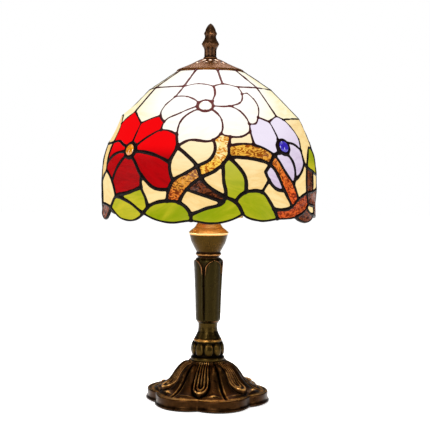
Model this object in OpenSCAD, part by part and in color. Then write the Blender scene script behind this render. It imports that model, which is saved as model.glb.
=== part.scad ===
// Stained glass table lamp: dome shade of flat glass panes in soldered seams,
// carried by a harp on a cast column and a six-lobed foot.
// Front is -Y. An azimuth turns about Z from the front towards +X.

/* [Shade] */
// Radius of the shade at its lower edge
shade_r = 97; // [93:0.5:104]
// Thickness of a glass pane
glass_t = 2.4; // [1.6:0.2:3]
// Width of the soldered seam between two panes
seam_w = 2.6; // [1.8:0.2:3]
// Width of the seams in the two plain top rows
row_seam_w = 2; // [1.6:0.2:2.6]
// Radius of a pressed glass jewel
jewel_r = 5.4; // [4.5:0.1:5.8]

/* [Foot] */
// Distance of a lobe's centre from the lamp's axis
lobe_at = 28; // [25:1:30]
// Radius of one lobe of the foot
lobe_r = 30; // [28:1:32]
// Height of the foot's upright edge
edge_h = 9.5; // [9:0.5:12]
// Thickness of the felt under the foot
felt_t = 1.2; // [1:0.1:2]

/* [Stem] */
// Outer radius of the threaded tube that ties the stem together
tube_r = 5; // [4.6:0.1:5.2]
// Bore radius of the threaded tube
tube_bore = 3.6; // [3.2:0.1:3.8]
// Number of ribs on the turned bulb above the foot
ribs = 10; // [8:1:12]

/* [Harp] */
// Radius of the harp's wire
wire_r = 1.7; // [1.4:0.1:1.9]
// Travel of a ferrule when it is lifted off its peg
ferrule_lift = 10; // [8:1:10]

/* [Bulb] */
// Radius of the bulb's globe
globe_r = 30; // [24:1:32]

/* [Fits] */
// Radial clearance between a pin and the hole that it turns in
run_gap = 0.05; // [0.02:0.01:0.09]

/* [Hidden] */
$fn = 64;

// Colours
bronze = [0.30, 0.22, 0.12];
brass = [0.78, 0.60, 0.28];
steel = [0.70, 0.70, 0.70];
solder = [0.16, 0.11, 0.10];
porcelain = [0.93, 0.92, 0.88];

// Shade profile as [radius, height], from the lower edge to the cap
rs = shade_r / 97;
shade_profile = [
    [97 * rs, 168], [97.5 * rs, 208], [95 * rs, 230], [81.2 * rs, 263], [55.4 * rs, 288],
    [28.7 * rs, 305]
];
seam_out = 1.2;
seam_in = 3.6;
shade_top = 304;
repeats = 2;

// Each pane is an outline of [azimuth, height] points, anticlockwise seen from outside.
// The same pattern is set twice round the shade.
top_rows = [
    [[-60, 304], [-60, 288], [-24, 288], [-24, 304]],
    [[-24, 304], [-24, 288], [-11, 290], [3, 288], [12, 290], [12, 304]],
    [[12, 304], [12, 290], [25, 288], [48, 288], [48, 304]],
    [[48, 304], [48, 288], [84, 288], [84, 304]],
    [[84, 304], [84, 288], [120, 288], [120, 304]],
    [[-60, 288], [-96, 288], [-96, 262], [-72, 262], [-67, 255], [-56, 266]],
    [[-60, 288], [-56, 266], [-44, 255], [-31, 262], [-31, 271], [-27, 278], [-24, 288]],
    [[25, 288], [26, 281], [31, 282], [34, 277], [30, 261], [37, 257], [45, 263], [48, 288]],
    [[48, 288], [45, 263], [50, 260], [84, 262], [84, 288]]
];
white_petals = [
    [[2, 274], [4, 281], [3, 288], [-11, 290], [-24, 288], [-27, 278], [-17, 278], [-8, 273],
     [-3, 275]],
    [[2, 274], [2, 270], [13, 270], [21, 273], [26, 281], [25, 288], [12, 290], [3, 288],
     [4, 281]],
    [[13, 270], [19, 266], [23, 255], [27, 255], [30, 261], [34, 277], [31, 282], [26, 281],
     [21, 273]],
    [[2, 270], [1, 267], [7, 258], [6, 246], [11, 244], [17, 244], [23, 249], [23, 255],
     [19, 266], [13, 270]],
    [[1, 267], [-3, 266], [-7, 267], [-17, 256], [-18, 245], [-17, 235], [-12, 240],
     [2, 241], [6, 246], [7, 258]],
    [[-7, 267], [-8, 270], [-18, 264], [-27, 256], [-28, 249], [-18, 245], [-17, 256]],
    [[-8, 270], [-8, 273], [-17, 278], [-27, 278], [-31, 271], [-31, 262], [-27, 256],
     [-18, 264]]
];
red_petals = [
    [[-46, 238], [-44, 255], [-56, 266], [-67, 255], [-67, 239], [-60, 240], [-49, 236]],
    [[-46, 238], [-43, 235], [-35, 244], [-28, 249], [-27, 256], [-31, 262], [-44, 255]],
    [[-43, 235], [-43, 231], [-30, 229], [-20, 222], [-17, 235], [-18, 245], [-28, 249],
     [-35, 244]],
    [[-43, 231], [-45, 227], [-36, 211], [-27, 200], [-20, 200], [-18, 207], [-20, 222],
     [-30, 229]],
    [[-45, 227], [-48, 228], [-56, 216], [-60, 205], [-56, 192], [-45, 196], [-36, 201],
     [-36, 211]],
    [[-48, 228], [-49, 231], [-59, 229], [-69, 220], [-69, 214], [-60, 205], [-56, 216]],
    [[-49, 231], [-49, 236], [-60, 240], [-67, 239], [-69, 220], [-59, 229]]
];
lavender_petals = [
    [[39, 231], [38, 237], [40, 242], [39, 250], [37, 257], [30, 261], [27, 255], [23, 255],
     [23, 249], [24, 237], [35, 229]],
    [[40, 242], [46, 240], [53, 238], [58, 233], [60, 243], [55, 254], [50, 260], [45, 263],
     [37, 257], [39, 250]],
    [[46, 240], [47, 234], [44, 230], [49, 220], [49, 208], [55, 214], [59, 222], [58, 233],
     [53, 238]],
    [[39, 231], [35, 229], [42, 214], [48, 203], [49, 208], [49, 220], [44, 230]],
    [[32, 221], [29, 215], [31, 208], [35, 201], [41, 199]]
];
leaves = [
    [[9, 227], [7, 222], [7, 208], [8, 194], [13, 190], [18, 198], [18, 210], [14, 220]],
    [[18, 198], [13, 190], [15, 186], [17, 180], [26, 174], [37, 175], [34, 184], [32, 189],
     [27, 198], [21, 199]],
    [[-9, 179], [-9, 174], [1, 172], [11, 175], [17, 180], [15, 186], [13, 190], [8, 194],
     [7, 190], [-2, 184]],
    [[-35, 179], [-27, 174], [-19, 172], [-9, 174], [-9, 179], [-15, 189], [-21, 190],
     [-32, 184]],
    [[-62, 182], [-50, 173], [-39, 174], [-35, 179], [-43, 187], [-56, 192]],
    [[-56, 192], [-43, 187], [-35, 179], [-32, 184], [-33, 191], [-36, 201], [-45, 196]],
    [[66, 230], [62, 219], [70, 215], [80, 212], [86, 212], [84, 222], [78, 234], [72, 236]],
    [[86, 240], [78, 234], [84, 222], [86, 212], [93, 214], [98, 226], [98, 238]]
];
branches = [
    [[6, 246], [2, 241], [3, 234], [1, 226], [-6, 219], [-4, 210], [3, 216], [7, 222],
     [9, 227], [10, 236], [11, 244]],
    [[-6, 219], [-12, 213], [-18, 207], [-20, 200], [-21, 190], [-15, 189], [-11, 200],
     [-4, 210]],
    [[10, 236], [9, 227], [21, 226], [32, 221], [35, 229], [24, 237]],
    [[35, 229], [32, 221], [41, 199], [47, 185], [52, 191], [48, 203], [42, 214]],
    [[-4, 210], [-11, 200], [7, 190], [8, 194]],
    [[34, 184], [37, 175], [50, 176], [61, 183], [63, 186], [61, 196], [52, 191], [47, 185]],
    [[62, 219], [61, 196], [70, 197], [70, 215]],
    [[86, 212], [84, 199], [92, 186], [95, 200], [93, 214]],
    [[61, 196], [63, 186], [72, 184], [74, 176], [88, 173], [92, 186], [84, 199], [70, 197]],
    [[50, 176], [58, 171], [68, 172], [74, 176], [66, 178], [61, 183]],
    [[100, 174], [108, 171], [118, 182], [104, 184]]
];
field = [
    [[-17, 235], [-11, 228], [-6, 219], [1, 226], [3, 234], [2, 241], [-12, 240]],
    [[-17, 235], [-20, 222], [-18, 207], [-12, 213], [-6, 219], [-11, 228]],
    [[11, 244], [10, 236], [24, 237], [23, 249], [17, 244]],
    [[9, 227], [14, 220], [18, 210], [18, 198], [21, 199], [27, 198], [31, 208], [29, 215],
     [32, 221], [21, 226]],
    [[7, 222], [3, 216], [-4, 210], [8, 194], [7, 208]],
    [[-11, 200], [-15, 189], [-9, 179], [-2, 184], [7, 190]],
    [[-36, 201], [-33, 191], [-32, 184], [-21, 190], [-20, 200], [-27, 200], [-36, 211]],
    [[27, 198], [32, 189], [34, 184], [47, 185], [41, 199], [35, 201], [31, 208]],
    [[59, 222], [55, 214], [49, 208], [48, 203], [52, 191], [61, 196], [62, 219]],
    [[70, 215], [70, 197], [84, 199], [86, 212], [80, 212]],
    [[92, 186], [88, 173], [100, 174], [104, 184], [101, 205], [95, 200]],
    [[101, 205], [104, 184], [118, 182], [124, 192], [120, 205], [111, 214]],
    [[84, 262], [86, 240], [98, 238], [113, 239], [113, 255], [108, 262]],
    [[63, 186], [61, 183], [66, 178], [74, 176], [72, 184]],
    [[98, 238], [98, 226], [93, 214], [95, 200], [101, 205], [111, 214], [111, 220],
     [113, 239]],
    [[84, 262], [50, 260], [55, 254], [60, 243], [58, 233], [59, 222], [62, 219], [66, 230],
     [72, 236], [78, 234], [86, 240]]
];
// Lower edge of the shade, one outline for each stretch between two notches
edge_runs = [
    [[-62, 182], [-50, 173], [-39, 174], [-35, 179]],
    [[-35, 179], [-27, 174], [-19, 172], [-9, 174]],
    [[-9, 174], [1, 172], [11, 175], [17, 180]],
    [[17, 180], [26, 174], [37, 175], [50, 176]],
    [[50, 176], [58, 171], [68, 172], [74, 176]],
    [[74, 176], [88, 173], [100, 174]],
    [[100, 174], [108, 171], [118, 182]]
];
edge_bead = 1.2;
edge_floor = 160;
// How far the cutters of two neighbouring stretches overlap, in degrees
edge_lap = 0.6;
// Half the depth of a cut that goes right through the seams
through = 9;
amber_at = [[-46, 232]];
blue_at = [[43, 236]];
white_at = [[-3, 270]];

// ---------- Geometry of the shade ----------
function shade_radius(z) = lookup(z, [for (p = shade_profile) [p[1], p[0]]]);
function on_shade(p) = [
    shade_radius(p[1]) * sin(p[0]), -shade_radius(p[1]) * cos(p[0]), p[1]
];
function total(list, i = 0) = i == len(list) - 1 ? list[i] : list[i] + total(list, i + 1);
function unit(v) = v / norm(v);
// Normal of an outline that may be a little out of plane
function outline_normal(q) =
    unit(total([for (i = [0:len(q) - 1]) cross(q[i], q[(i + 1) % len(q)])]));

// Draws its children in the plane of an outline, with local +Z out of the shade
module in_plane(points) {
    q = [for (p = points) on_shade(p)];
    centre = total(q) / len(q);
    n = outline_normal([for (p = q) p - centre]);
    u = unit([-n[1], n[0], 0]);
    v = cross(n, u);
    flat = [for (p = q) [(p - centre) * u, (p - centre) * v]];
    multmatrix([
        [u[0], v[0], n[0], centre[0]],
        [u[1], v[1], n[1], centre[1]],
        [u[2], v[2], n[2], centre[2]]
    ])
    outline_solid(flat, $inset, $low, $high);
}
module outline_solid(flat, inset, low, high) {
    translate([0, 0, low])
    linear_extrude(high - low) offset(delta = -inset) polygon(flat);
}
module panes(outlines, seam = seam_w, low = -glass_t / 2, high = glass_t / 2) {
    $inset = seam / 2;
    $low = low;
    $high = high;
    for (turn = [0:repeats - 1])
        rotate([0, 0, turn * 360 / repeats])
        for (points = outlines)
            in_plane(points);
}
// Stands its children on the shade at one point, with local +Z out of the shade
module at_point(p) {
    q = on_shade(p);
    below = shade_radius(p[1] - 1);
    above = shade_radius(p[1] + 1);
    lean = atan2(below - above, 2);
    translate(q) rotate([0, 0, p[0]]) rotate([90 - lean, 0, 0]) children();
}
module at_points(list) {
    for (turn = [0:repeats - 1])
        rotate([0, 0, turn * 360 / repeats])
        for (p = list)
            at_point(p) children();
}

// ---------- Shade pieces ----------
module shade_shell() {
    outer = [for (p = shade_profile) [p[0] + seam_out, p[1]]];
    inner = [for (i = [len(shade_profile) - 1:-1:0])
        [shade_profile[i][0] - seam_in, shade_profile[i][1]]];
    intersection() {
        rotate_extrude() polygon(concat(outer, inner));
        cylinder(r = 2 * shade_r, h = shade_top);
    }
}
module edge_cutters() {
    $inset = 0;
    $low = -through;
    $high = through;
    for (turn = [0:repeats - 1])
        rotate([0, 0, turn * 360 / repeats])
        for (run = edge_runs) {
            last = len(run) - 1;
            in_plane(concat(
                [[run[0][0] - edge_lap, run[0][1] - edge_bead]],
                [[run[0][0] - edge_lap, edge_floor], [run[last][0] + edge_lap, edge_floor]],
                [for (i = [last:-1:0])
                    [run[i][0] + (i == last ? edge_lap : 0), run[i][1] - edge_bead]]
            ));
        }
}
module shade_seams() {
    color(solder)
    difference() {
        shade_shell();
        panes(top_rows, row_seam_w, -through, through);
        panes(white_petals, seam_w, -through, through);
        panes(red_petals, seam_w, -through, through);
        panes(lavender_petals, seam_w, -through, through);
        panes(leaves, seam_w, -through, through);
        panes(branches, seam_w, -through, through);
        panes(field, seam_w, -through, through);
        edge_cutters();
        at_points(concat(amber_at, blue_at, white_at))
            translate([0, 0, -through]) cylinder(r = jewel_r, h = 2 * through);
    }
}
module glass_top_rows() {
    color([0.98, 0.95, 0.82]) panes(top_rows, row_seam_w);
}
module glass_field() {
    color([0.96, 0.86, 0.66]) panes(field);
}
module glass_white_petals() {
    color([1, 0.99, 0.96]) panes(white_petals);
}
module glass_red_petals() {
    color([0.8, 0.02, 0.04]) panes(red_petals);
}
module glass_lavender_petals() {
    color([0.84, 0.78, 0.90]) panes(lavender_petals);
}
module glass_leaves() {
    color([0.62, 0.68, 0.12]) panes(leaves);
}
module glass_branches() {
    color([0.70, 0.32, 0.06]) panes(branches);
}
module jewel() {
    translate([0, 0, -1.5]) cylinder(r = jewel_r, h = 3);
    translate([0, 0, 1.5]) rotate_extrude() polygon([[0, 0], [jewel_r, 0], [3, 1.6], [0, 2.2]]);
}
module jewels_amber() {
    color([0.85, 0.5, 0.1]) at_points(amber_at) jewel();
}
module jewels_blue() {
    color([0.12, 0.1, 0.6]) at_points(blue_at) jewel();
}
module jewels_white() {
    color([1, 1, 0.98]) at_points(white_at) jewel();
}
ring_z = shade_top;
ring_h = 1.2;
module shade_ring() {
    color(brass)
    translate([0, 0, ring_z])
    rotate_extrude() polygon([[24, 0], [29.6, 0], [29.6, ring_h], [24, ring_h]]);
}

// ---------- Cap and finial ----------
seat_z = 315.8;
cap_t = 1.2;
stud_r = 3.1;
cap_profile = [[3.3, 317], [7, 317], [11, 315], [17, 311.8], [24.5, 308.6], [29, 306.6],
    [30.5, ring_z + ring_h]];
vents = 12;
module vent_cap() {
    last = len(cap_profile) - 1;
    color(bronze)
    difference() {
        rotate_extrude() polygon(concat(
            cap_profile,
            [[cap_profile[last][0] - 2, cap_profile[last][1]]],
            [for (i = [last - 1:-1:0]) [cap_profile[i][0], cap_profile[i][1] - cap_t]]
        ));
        for (i = [0:vents - 1], row = [0:1])
            rotate([0, 0, (i + row / 2) * 360 / vents])
            translate([11.5 + row * 3.8, 0, 300]) cylinder(r = 1.4, h = 30, $fn = 4);
    }
}
finial_profile = [[0, 317], [6.6, 317], [5.2, 319.5], [5.2, 325.5], [7.4, 328], [8.1, 331],
    [6.7, 334], [5.5, 336], [5.4, 338.5], [6.4, 341], [4.4, 343.2], [2.6, 346.6], [0, 349]];
module finial() {
    color(bronze)
    difference() {
        rotate_extrude() polygon(finial_profile);
        translate([0, 0, 316]) cylinder(r = stud_r + run_gap, h = 15);
    }
}
pivot_r = 2;
pad_low = 308.5;
pad_high = 313.5;
module swivel_stud() {
    color(brass) {
        translate([0, 0, 306.3]) cylinder(r = 3.6, h = 2);
        translate([0, 0, 307]) cylinder(r = pivot_r, h = 8);
        translate([0, 0, 313.7]) cylinder(r = 6.8, h = seat_z - 313.7);
        translate([0, 0, 315]) cylinder(r = stud_r, h = 15);
    }
}

// ---------- Harp ----------
harp_x = 30;
peg_top = 180;
ferrule_low = 174;
ferrule_h = 12;
// Top of the straight wire, just over a ferrule that is lifted off its peg
straight_top = ferrule_low + ferrule_h + ferrule_lift + 2;
// Right half of the bow, from above the ferrule to the crown
bow_path = [[harp_x, straight_top], [30.5, 202], [37, 214], [45, 228], [49.5, 245], [48.5, 262],
    [41, 280], [29, 294.5], [15, 305.5],
    [5, 310.5], [0, 311]];
module rod(a, b, r) {
    d = b - a;
    translate(a)
    rotate([0, acos(d[2] / norm(d)), atan2(d[1], d[0])])
    cylinder(r = r, h = norm(d));
}
// A flat outline that keeps the same distance on both sides of a path
function path_normal(path, i) =
    let (d = path[min(i + 1, len(path) - 1)] - path[max(i - 1, 0)]) [-d[1], d[0]] / norm(d);
module ribbon(path, half) {
    last = len(path) - 1;
    polygon(concat(
        [for (i = [0:last]) path[i] + half * path_normal(path, i)],
        [for (i = [last:-1:0]) path[i] - half * path_normal(path, i)]
    ));
}
module harp_bow() {
    color(brass)
    difference() {
        union() {
            for (side = [0, 1])
                mirror([side, 0, 0]) {
                    rotate([90, 0, 0])
                    translate([0, 0, -wire_r])
                    linear_extrude(2 * wire_r) ribbon(bow_path, wire_r);
                    translate([harp_x, 0, peg_top])
                    cylinder(r = wire_r, h = straight_top - peg_top);
                }
            translate([0, 0, pad_low]) cylinder(r = 6, h = pad_high - pad_low);
        }
        translate([0, 0, pad_low - 1]) cylinder(r = pivot_r + run_gap, h = 10);
    }
}
saddle_z = 171;
saddle_t = 2;
module harp_saddle() {
    color(brass)
    difference() {
        union() {
            translate([0, 0, saddle_z])
            linear_extrude(saddle_t)
            offset(r = 5) square([2 * harp_x - 8, 4], center = true);
            translate([0, 0, saddle_z]) cylinder(r = 9, h = saddle_t);
            for (side = [-1, 1])
                translate([side * harp_x, 0, saddle_z])
                cylinder(r = wire_r, h = peg_top - saddle_z);
        }
        translate([0, 0, saddle_z - 1]) cylinder(r = tube_r, h = saddle_t + 2);
    }
}
module harp_ferrule(side) {
    color(brass)
    translate([side * harp_x, 0, ferrule_low])
    difference() {
        cylinder(r = 3.6, h = ferrule_h);
        translate([0, 0, -1]) cylinder(r = wire_r + run_gap, h = ferrule_h + 2);
    }
}
module harp_ferrule_left() {
    harp_ferrule(-1);
}
module harp_ferrule_right() {
    harp_ferrule(1);
}

// ---------- Socket ----------
socket_z = saddle_z + saddle_t;
shell_z = 192;
shell_h = 32;
screw_r = 13.05;
switch_z = 198;
switch_r = 1.5;
lead_r = 1.1;
lead_top = 180.2;
module socket_cap() {
    outer = [[tube_r, socket_z], [9, socket_z], [9, 175.5], [14, 179.3], [17.5, 186],
        [17.5, shell_z]];
    inner = [[16.5, shell_z], [16.5, 187.6], [13.4, 181], [11, 178.5], [tube_r, 178.5]];
    color(brass) rotate_extrude() polygon(concat(outer, inner));
}
module switch_hole(gap) {
    translate([0, 0, switch_z]) rotate([-90, 0, 0])
    translate([0, 0, 8]) cylinder(r = switch_r + gap, h = 20);
}
module socket_shell() {
    color(brass)
    difference() {
        translate([0, 0, shell_z])
        rotate_extrude() polygon([[16.7, 0], [17.5, 0], [17.5, shell_h - 1.5],
            [18, shell_h], [16.7, shell_h]]);
        switch_hole(1);
    }
}
module socket_sleeve() {
    color([0.25, 0.22, 0.18])
    difference() {
        translate([0, 0, shell_z])
        rotate_extrude() polygon([[15.6, 0], [16.4, 0], [16.4, shell_h - 2], [15.6, shell_h - 2]]);
        switch_hole(1);
    }
}
core_low = 184;
core_top = 203;
module socket_core() {
    color(porcelain)
    difference() {
        translate([0, 0, core_low]) cylinder(r = 14.2, h = core_top - core_low);
        switch_hole(run_gap);
        for (side = [-1, 1])
            translate([side * 9, 0, core_low - 1]) cylinder(r = 1.4, h = 4);
    }
}
module screw_shell() {
    color(brass)
    translate([0, 0, core_top])
    difference() {
        cylinder(r = 14, h = 20);
        translate([0, 0, 1]) cylinder(r = screw_r, h = 20);
        translate([0, 0, -1]) cylinder(r = 6, h = 3);
    }
}
module centre_contact() {
    color(brass) translate([0, 0, core_top]) cylinder(r = 3.5, h = 2);
}
module terminal_screws() {
    color(brass)
    for (side = [-1, 1])
        translate([side * 9, 0, lead_top + lead_r]) {
            cylinder(r = 2.6, h = core_low - lead_top - lead_r);
            cylinder(r = 1.35, h = core_low - lead_top - lead_r + 3);
        }
}
module switch_shaft() {
    color(brass)
    translate([0, 0, switch_z]) rotate([-90, 0, 0])
    translate([0, 0, 9]) cylinder(r = switch_r, h = 16);
}
module switch_knob() {
    color([0.1, 0.08, 0.07])
    translate([0, 25, switch_z]) rotate([-90, 0, 0])
    difference() {
        cylinder(r = 5, h = 12);
        for (i = [0:11])
            rotate([0, 0, i * 30]) translate([5.4, 0, 2]) cylinder(r = 0.9, h = 12);
    }
}

// ---------- Bulb ----------
bulb_z = 206;
globe_z = 268;
glass_wall = 1;
module bulb_cap() {
    color(steel)
    translate([0, 0, bulb_z + 1.5])
    difference() {
        cylinder(r = screw_r - run_gap, h = 20);
        translate([0, 0, 1]) cylinder(r = screw_r - 1, h = 20);
        translate([0, 0, -1]) cylinder(r = 8, h = 3);
    }
}
module bulb_insulator() {
    color([0.08, 0.08, 0.09])
    translate([0, 0, bulb_z])
    rotate_extrude() polygon([[3, 0], [5, 0], [8, 1.5], [8, 2.5], [3, 2.5]]);
}
module bulb_tip() {
    color(steel) translate([0, 0, core_top + 2]) cylinder(r = 3, h = bulb_z + 2.5 - core_top - 2);
}
// Neck and globe as arcs: a flare from the cap, then the globe
module globe_outline(r) {
    flare = 20;
    reach = sqrt(pow(globe_r + flare, 2) - pow(12 + flare, 2));
    union() {
        translate([0, globe_z]) circle(r = r);
        difference() {
            translate([0, globe_z - reach])
            square([(12 + flare) * globe_r / (globe_r + flare), reach * flare / (globe_r + flare)]);
            translate([12 + flare, globe_z - reach])
            circle(r = flare + globe_r - r);
        }
        translate([0, bulb_z + 3]) square([r + 12 - globe_r, globe_z - reach - bulb_z - 3]);
    }
}
module bulb_globe() {
    color([1, 0.98, 0.92])
    rotate_extrude()
    intersection() {
        difference() {
            globe_outline(globe_r);
            globe_outline(globe_r - glass_wall);
            translate([0, bulb_z + 3]) square([10.9, 3]);
        }
        square([globe_r, globe_z + globe_r]);
    }
}
module bulb_mount() {
    color([0.85, 0.75, 0.45]) {
        translate([0, 0, bulb_z + 6]) cylinder(r = 2.5, h = 34);
        translate([0, 0, bulb_z + 2.5]) cylinder(r = 7.5, h = 4);
        for (i = [0:3])
            rotate([0, 0, i * 90]) {
                rod([1.5, 0, 244], [9, 0, 252], 0.6);
                rod([9, 0, 251.6], [9, 0, 284], 0.9);
                rod([9, 0, 283.6], [0, 0, 288], 0.6);
            }
    }
}

// ---------- Stem ----------
tube_low = 20;
tube_high = 178.5;
module threaded_tube() {
    color(steel)
    translate([0, 0, tube_low])
    difference() {
        cylinder(r = tube_r, h = tube_high - tube_low);
        translate([0, 0, -1]) cylinder(r = tube_bore, h = tube_high);
    }
}
module turned(profile) {
    bottom = profile[0][1];
    top = profile[len(profile) - 1][1];
    rotate_extrude()
    polygon(concat([[tube_r, bottom]], profile, [[tube_r, top]]));
}
foot_top = 38;
lower_profile = [[15.4, foot_top], [16, 39], [15.7, 41], [14, 42.6], [14.9, 45.5], [15.2, 48.5],
    [14.5, 52.5], [12.9, 56], [11.8, 59.3], [10.2, 62.6], [9.2, 65], [8.8, 69], [9, 73]];
rib_turn = 4;
module lower_stem() {
    color(bronze)
    difference() {
        turned(lower_profile);
        for (i = [0:ribs - 1])
            rotate([0, 0, rib_turn + i * 360 / ribs])
            translate([16, 0, 44]) cylinder(r = 1.8, h = 10);
    }
}
column_low = 73;
column_profile = [[9.6, column_low], [10.9, 75], [11.4, 95.5], [12.2, 114], [12.8, 127],
    [12.9, 131.4], [12.2, 133.4]];
leaf_turn = 25;
sides = 4;
module column() {
    color(bronze)
    difference() {
        turned(column_profile);
        for (i = [0:sides - 1])
            rotate([0, 0, leaf_turn - 180 / sides + i * 360 / sides]) {
                translate([0, -13.4, column_low - 1]) cylinder(r = 1.1, h = 62);
                translate([0, -13.4, 130]) rotate([0, 45, 0])
                cube([12, 4, 12], center = true);
            }
    }
}
cup_profile = [[10.1, 133.4], [10.1, 135], [11.7, 136.2], [11.9, 137.4], [10.9, 139],
    [12.9, 142.4], [15.2, 146.8], [16.2, 149.2], [16.9, 151.8], [17.5, 154.2], [17.7, 155.2]];
module capital_cup() {
    color(bronze) turned(cup_profile);
}
neck_profile = [[17.7, 155.2], [18.6, 157.2], [16.2, 159.3], [13.1, 161.7], [11.5, 164.2],
    [10.6, 166], [10.4, 168]];
module neck_flare() {
    color([0.6, 0.42, 0.22]) turned(neck_profile);
}
nut_h = 3;
module hex_nut(z, across) {
    translate([0, 0, z])
    difference() {
        cylinder(r = across / sqrt(3), h = nut_h, $fn = 6);
        translate([0, 0, -1]) cylinder(r = tube_r, h = nut_h + 2);
    }
}
module neck_nut() {
    color(brass) hex_nut(168, 14);
}

// ---------- Foot ----------
lobes = 6;
lobe_turn = 20;
module lobed(grow = 0) {
    circle(r = lobe_at + grow);
    for (i = [0:lobes - 1])
        rotate(lobe_turn + i * 360 / lobes)
        translate([0, -lobe_at]) circle(r = lobe_r + grow);
}
bell_profile = [[0, felt_t + edge_h], [46, felt_t + edge_h], [41, 14.6], [36.5, 17.6], [33, 21.2],
    [30.2, 25.5], [26, 31], [21.3, 34.7], [17.5, 36.6], [17, foot_top], [0, foot_top]];
hollow_profile = [[0, felt_t], [38, felt_t], [38, 11.5], [29, 17.5], [23.5, 26], [17.5, 30],
    [14, 33], [0, 33]];
leaf_outline = [[0, -4], [5, -3], [8, 4], [7, 12], [3, 20], [0, 22]];
module palmette() {
    mirrored = [for (i = [len(leaf_outline) - 2:-1:1]) [-leaf_outline[i][0], leaf_outline[i][1]]];
    linear_extrude(4) polygon(concat(leaf_outline, mirrored));
}
inlet_z = 5.8;
inlet_y = 55.5;
inlet_r = 4.2;
module base_casting() {
    color(bronze)
    difference() {
        union() {
            translate([0, 0, felt_t]) linear_extrude(3) lobed();
            translate([0, 0, felt_t]) linear_extrude(edge_h) lobed(-1.5);
            rotate_extrude() polygon(bell_profile);
            for (i = [0:lobes - 1])
                rotate([0, 0, lobe_turn - 30 + i * 360 / lobes])
                translate([0, -24, 31.5]) rotate([225, 0, 0])
                translate([0, 0, -2]) palmette();
        }
        rotate_extrude() polygon(hollow_profile);
        translate([0, 0, 30]) cylinder(r = tube_r, h = 20);
        translate([0, 30, inlet_z]) rotate([-90, 0, 0]) cylinder(r = inlet_r, h = 40);
    }
}
module felt_pad() {
    color([0.12, 0.16, 0.12])
    linear_extrude(felt_t) lobed(-2.5);
}
module base_weight() {
    color([0.35, 0.35, 0.36])
    translate([0, 0, felt_t])
    difference() {
        rotate_extrude() polygon([[14, 0], [37.5, 0], [37.5, 10], [29, 15], [14, 15]]);
        translate([0, 10, inlet_z - felt_t]) rotate([-90, 0, 0]) cylinder(r = 4, h = 40);
    }
}
module base_washer() {
    color(steel)
    translate([0, 0, 31.5])
    difference() {
        cylinder(r = 11, h = 1.5);
        translate([0, 0, -1]) cylinder(r = tube_r, h = 4);
    }
}
module base_nut() {
    color(brass) hex_nut(28.5, 15);
}
bush_bore = 3.3;
bush_l = 16;
module cord_bushing() {
    color([0.08, 0.07, 0.06])
    translate([0, inlet_y - bush_l, inlet_z]) rotate([-90, 0, 0])
    difference() {
        union() {
            cylinder(r = inlet_r, h = bush_l);
            translate([0, 0, bush_l]) cylinder(r = 4.7, h = 1.2);
        }
        translate([0, 0, -1]) cylinder(r = bush_bore, h = bush_l + 4);
    }
}
// Two insulated leads, from inside the inlet up the tube to the terminals
lead_x = 1.5;
module lead_wires() {
    color([0.75, 0.72, 0.62])
    for (side = [0, 1])
        mirror([side, 0, 0]) {
            rod([lead_x, 39, inlet_z], [lead_x, -lead_r, inlet_z], lead_r);
            rod([lead_x, 0, inlet_z], [lead_x, 0, lead_top + lead_r], lead_r);
            rod([lead_x, 0, lead_top], [9, 0, lead_top], lead_r);
        }
}

felt_pad();
base_casting();
base_weight();
base_washer();
base_nut();
cord_bushing();
threaded_tube();
lower_stem();
column();
capital_cup();
neck_flare();
neck_nut();
lead_wires();
harp_saddle();
harp_ferrule_left();
harp_ferrule_right();
harp_bow();
socket_cap();
socket_shell();
socket_sleeve();
socket_core();
screw_shell();
centre_contact();
terminal_screws();
switch_shaft();
switch_knob();
bulb_cap();
bulb_insulator();
bulb_tip();
bulb_globe();
bulb_mount();
swivel_stud();
shade_seams();
shade_ring();
glass_top_rows();
glass_field();
glass_white_petals();
glass_red_petals();
glass_lavender_petals();
glass_leaves();
glass_branches();
jewels_amber();
jewels_blue();
jewels_white();
vent_cap();
finial();
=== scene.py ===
"""Stained glass table lamp: dome shade of opalescent glass on a cast bronze column and foot.

Lengths are in millimetres until a mesh is made, and an azimuth turns about Z from the
front (-Y) towards +X.
"""

import math
import random

import bmesh
import bpy
import numpy as np
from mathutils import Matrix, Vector, noise
from mathutils.geometry import delaunay_2d_cdt


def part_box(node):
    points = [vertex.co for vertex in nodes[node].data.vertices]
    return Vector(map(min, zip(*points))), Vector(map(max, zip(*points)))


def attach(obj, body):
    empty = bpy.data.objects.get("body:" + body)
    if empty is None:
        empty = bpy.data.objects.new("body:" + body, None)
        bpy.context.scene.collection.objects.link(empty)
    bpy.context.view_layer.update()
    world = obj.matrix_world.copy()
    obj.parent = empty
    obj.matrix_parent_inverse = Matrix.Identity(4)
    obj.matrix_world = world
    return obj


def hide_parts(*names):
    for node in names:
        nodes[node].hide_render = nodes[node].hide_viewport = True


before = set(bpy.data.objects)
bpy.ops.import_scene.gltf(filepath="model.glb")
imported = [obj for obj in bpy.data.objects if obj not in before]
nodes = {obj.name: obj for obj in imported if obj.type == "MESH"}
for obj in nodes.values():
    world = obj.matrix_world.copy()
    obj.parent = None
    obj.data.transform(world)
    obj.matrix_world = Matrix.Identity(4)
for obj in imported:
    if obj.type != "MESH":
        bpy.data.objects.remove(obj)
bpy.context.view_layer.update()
MM = 0.001

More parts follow.
